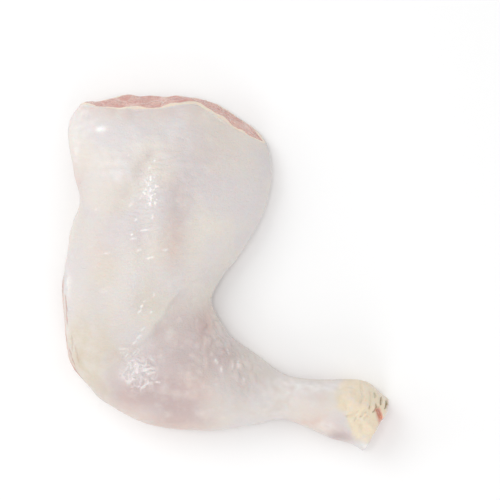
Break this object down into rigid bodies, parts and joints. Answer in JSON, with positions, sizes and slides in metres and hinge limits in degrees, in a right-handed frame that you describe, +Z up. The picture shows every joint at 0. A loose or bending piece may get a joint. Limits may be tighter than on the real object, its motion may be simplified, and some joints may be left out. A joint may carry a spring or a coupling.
{
  "type": "raw chicken leg quarter",
  "caption": "Raw skin-on chicken leg quarter: a broad thigh bent at the knee into a drumstick that ends at the cut hock, lying skin side up.",
  "frame": {"origin": "middle of the bounding box, on the table under the leg", "axes": "+Z up out of the skin side, +Y from the knee towards the cut hip end, +X from the outer side of the knee towards the hock"},
  "size_m": [0.1706, 0.1856, 0.0374],
  "materials": {
    "chicken_skin": "moist raw skin with a soft gloss"
  },
  "bodies": {
    "root": {"leg_quarter": "chicken_skin"}
  },
  "joints": []
}
